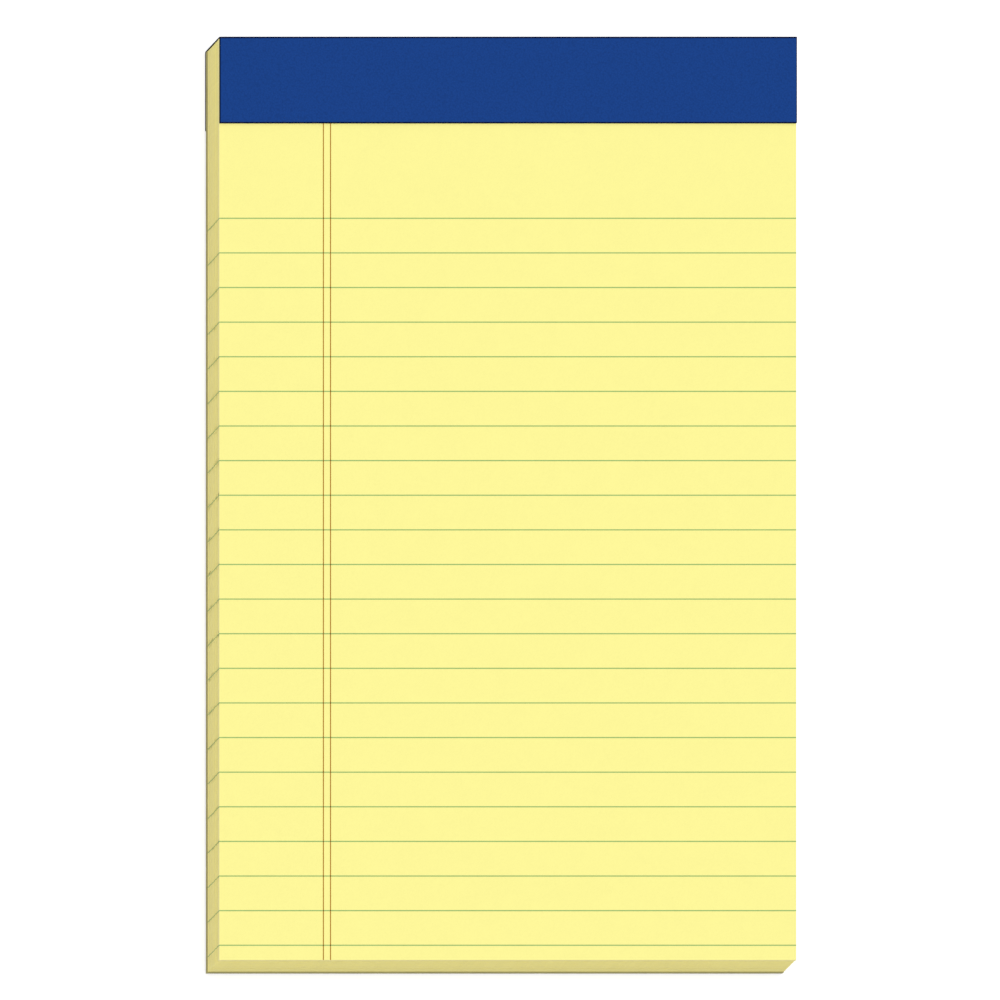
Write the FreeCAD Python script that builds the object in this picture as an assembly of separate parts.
import FreeCAD, Part
import os

# A small legal pad, lying on its back. A block of ruled sheets and a chipboard back are stapled
# through the head, and a folded tape covers the staples. The page is printed with rules that run
# off both edges and with a pair of margin lines.
# Millimetres. X runs across the page, Y up the page to the bound head, Z out of the page.
# The origin is under the middle of the pad, on the surface that it lies on.

# Whole pad, over the tape
pad_width = 127.0
pad_length = 203.2

# Sheets, and the board behind them
sheet_count = 50
sheet_thickness = 0.10
board_thickness = 0.66

# Tape, glued on and folded sharply over the head
tape_thickness = 0.33
tape_front = 19.05
tape_back = 17.5

# Staples: flat wire driven from the front, with both legs clinched behind the board
staple_spacing = 63.5
staple_from_head = 9.5
staple_crown = 12.0
clinch_length = 4.0
wire_width = 0.5
wire_thickness = 0.4
bend_radius = 0.8

# Printed rules. The foot keeps at least foot_space below the last one.
title_space = 20.89
rule_pitch = 7.62
foot_space = 2.5
rule_width = 0.24

# Printed margin lines, from the page's left edge to the middle of the first, then to the next
margin_from_edge = 22.92
margin_spacing = 1.57
margin_line_count = 2
margin_width = 0.20

# Ink stands this much proud of the paper, and where lines cross it is two films thick.
ink_film = 0.015

# Places that follow from the sizes
left_x = -pad_width / 2
foot_y = -pad_length / 2
head_y = pad_length / 2 - tape_thickness
board_z = tape_thickness
sheets_z = board_z + board_thickness
stack_height = sheet_count * sheet_thickness
face_z = sheets_z + stack_height
tape_front_y = pad_length / 2 - tape_front
tape_back_y = pad_length / 2 - tape_back
first_rule_y = tape_front_y - title_space
rule_count = int((first_rule_y - foot_y - foot_space) / rule_pitch) + 1


def box(low, high):
    """A box between its lowest and highest corner."""
    size = [b - a for a, b in zip(low, high)]
    return Part.makeBox(*size, FreeCAD.Vector(*low))


def rounded_box(low, high, radius):
    """A box with its four edges along Y rounded, as wire bends in the XZ plane."""
    block = box(low, high)
    along_y = [edge for edge in block.Edges if abs(edge.tangentAt(edge.FirstParameter).y) > 0.5]
    return block.makeFillet(radius, along_y)


def make_staple(centre_x):
    """Crown flush with the top sheet, legs through the stack, clinch flush with the board's back."""
    centre_y = pad_length / 2 - staple_from_head
    low = [centre_x - staple_crown / 2, centre_y - wire_width / 2, board_z]
    high = [centre_x + staple_crown / 2, centre_y + wire_width / 2, face_z]
    inset = [wire_thickness, 0, wire_thickness]
    inner_low = [a + b for a, b in zip(low, inset)]
    inner_high = [a - b for a, b in zip(high, inset)]
    gap_low = [low[0] + clinch_length, low[1], low[2]]
    gap_high = [high[0] - clinch_length, high[1], inner_low[2]]
    ring = rounded_box(low, high, bend_radius)
    ring = ring.cut(rounded_box(inner_low, inner_high, bend_radius - wire_thickness))
    return ring.cut(box(gap_low, gap_high))


def make_layer(low_z, high_z, staples):
    """A flat layer of the pad, from foot to head, with the staples' own shape pierced through it."""
    layer = box([left_x, foot_y, low_z], [-left_x, head_y, high_z])
    return layer.cut(staples)


def make_tape():
    """The tape's section, drawn in the YZ plane: front, round the head, back, and inside again."""
    corner_turn = tape_thickness / 2 ** 0.5
    front = FreeCAD.Vector(left_x, tape_front_y, face_z + tape_thickness)
    fold_front = FreeCAD.Vector(left_x, head_y, face_z + tape_thickness)
    fold_front_mid = FreeCAD.Vector(left_x, head_y + corner_turn, face_z + corner_turn)
    head_front = FreeCAD.Vector(left_x, head_y + tape_thickness, face_z)
    head_back = FreeCAD.Vector(left_x, head_y + tape_thickness, board_z)
    fold_back_mid = FreeCAD.Vector(left_x, head_y + corner_turn, board_z - corner_turn)
    fold_back = FreeCAD.Vector(left_x, head_y, board_z - tape_thickness)
    back = FreeCAD.Vector(left_x, tape_back_y, board_z - tape_thickness)
    inside = [
        back,
        FreeCAD.Vector(left_x, tape_back_y, board_z),
        FreeCAD.Vector(left_x, head_y, board_z),
        FreeCAD.Vector(left_x, head_y, face_z),
        FreeCAD.Vector(left_x, tape_front_y, face_z),
        front,
    ]
    edges = [
        Part.makeLine(front, fold_front),
        Part.Arc(fold_front, fold_front_mid, head_front).toShape(),
        Part.makeLine(head_front, head_back),
        Part.Arc(head_back, fold_back_mid, fold_back).toShape(),
        Part.makeLine(fold_back, back),
    ]
    edges += [Part.makeLine(a, b) for a, b in zip(inside, inside[1:])]
    return Part.Face(Part.Wire(edges)).extrude(FreeCAD.Vector(pad_width, 0, 0))


def make_rule(number):
    """One rule: a film across the page that runs off it and down both sides of the stack."""
    middle_y = first_rule_y - number * rule_pitch
    low_y = middle_y - rule_width / 2
    high_y = middle_y + rule_width / 2
    outside = box([left_x - ink_film, low_y, sheets_z], [-left_x + ink_film, high_y, face_z + ink_film])
    return outside.cut(box([left_x, low_y, sheets_z], [-left_x, high_y, face_z]))


def make_margin_line(number, rules):
    """One margin line, from the tape to the foot, printed over the rules that it crosses."""
    middle_x = left_x + margin_from_edge + number * margin_spacing
    low = [middle_x - margin_width / 2, foot_y, face_z]
    high = [middle_x + margin_width / 2, tape_front_y, face_z + 2 * ink_film]
    return box(low, high).cut(rules)


left_staple = make_staple(-staple_spacing / 2)
right_staple = make_staple(staple_spacing / 2)
staples = [left_staple, right_staple]
rules = [make_rule(number) for number in range(rule_count)]
margin_lines = [make_margin_line(number, rules) for number in range(margin_line_count)]

nodes = {
    "backing_board": make_layer(board_z, sheets_z, staples),
    "ruled_sheets": make_layer(sheets_z, face_z, staples),
    "binding_tape": make_tape(),
    "left_staple": left_staple,
    "right_staple": right_staple,
    "page_rules": Part.makeCompound(rules),
    "margin_rules": Part.makeCompound(margin_lines),
}

os.makedirs("parts", exist_ok=True)
for name, shape in nodes.items():
    shape.exportStep(f"parts/{name}.step")
    size = shape.BoundBox
    print(
        f"{name}: {len(shape.Solids)} solids, {shape.Volume:.2f} mm3,"
        f" {size.XLength:.2f} x {size.YLength:.2f} x {size.ZLength:.2f} mm,"
        f" valid {shape.isValid()}"
    )
